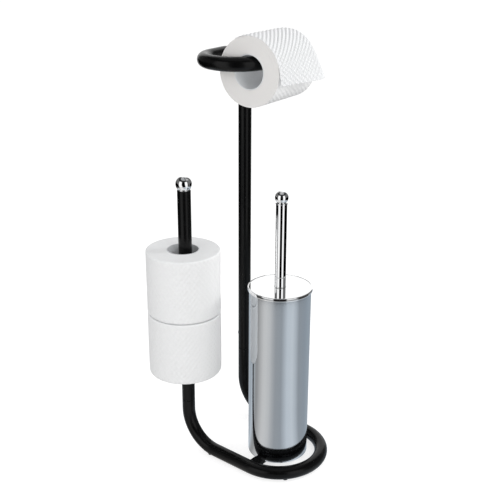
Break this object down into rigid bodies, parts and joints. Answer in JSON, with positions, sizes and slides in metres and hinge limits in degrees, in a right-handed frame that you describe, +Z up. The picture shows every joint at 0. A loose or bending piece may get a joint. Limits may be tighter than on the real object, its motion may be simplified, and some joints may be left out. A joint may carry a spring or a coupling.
{
  "type": "toilet butler stand",
  "caption": "Free-standing bent-tube stand that holds a toilet brush in a steel cup, spare paper rolls on a post and a roll in use on a looped arm.",
  "frame": {"origin": "on the floor, under the middle of the object's whole outline", "axes": "+Z up, the base loop and the brush towards -Y, the spare roll post at -X and the pole at +X"},
  "size_m": [0.2037, 0.248, 0.615],
  "materials": {
    "black_coat": "satin black powder coat on steel tube",
    "zinc": "zinc plated",
    "chrome": "mirror chrome",
    "steel": "polished stainless steel sheet",
    "black_plastic": "moulded",
    "white_plastic": "moulded",
    "rubber": "matt",
    "paper": "soft embossed tissue paper",
    "card": "wound cardboard",
    "bristle": "nylon filament"
  },
  "bodies": {
    "stand": {"base_tube": "black_coat", "pole_tube": "black_coat", "spare_roll_post": "black_coat", "cross_bar": "black_coat", "roll_stop": "black_coat", "post_sleeve": "zinc", "pole_sleeve": "zinc", "pole_screw": "zinc", "stop_set_screw": "zinc", "post_ball": "chrome", "post_ball_plug": "black_plastic", "arm_ball": "chrome", "arm_ball_plug": "black_plastic", "pad_back_left": "rubber", "pad_back_right": "rubber", "pad_front_left": "rubber", "pad_front_right": "rubber", "holder_shell": "steel", "holder_base": "zinc", "holder_screw": "zinc", "holder_washer": "zinc", "holder_nut": "zinc", "holder_liner": "white_plastic"},
    "brush": {"brush_lid": "chrome", "handle_tube": "chrome", "handle_insert": "black_plastic", "handle_ball": "chrome", "brush_stem": "white_plastic", "brush_core": "white_plastic", "brush_bristles": "bristle"},
    "lower_roll": {"lower_roll_core": "card", "lower_roll_paper": "paper"},
    "upper_roll": {"upper_roll_core": "card", "upper_roll_paper": "paper"},
    "top_roll": {"top_roll_core": "card", "top_roll_paper": "paper", "loose_sheet": "paper"}
  },
  "joints": [
    {"name": "brush_lift", "type": "slide", "parent": "stand", "child": "brush", "axis": [0, 0, 1], "range_m": [0, 0.105]},
    {"name": "lower_roll_lift", "type": "slide", "parent": "stand", "child": "lower_roll", "axis": [0, 0, 1], "range_m": [0, 0.035]},
    {"name": "upper_roll_lift", "type": "slide", "parent": "lower_roll", "child": "upper_roll", "axis": [0, 0, 1], "range_m": [0, 0.2]},
    {"name": "top_roll_spin", "type": "hinge", "parent": "stand", "child": "top_roll", "pos_m": [-0.01797, -0.02118, 0.5691], "axis": [0.9946, 0.1037, 0], "continuous": true}
  ]
}
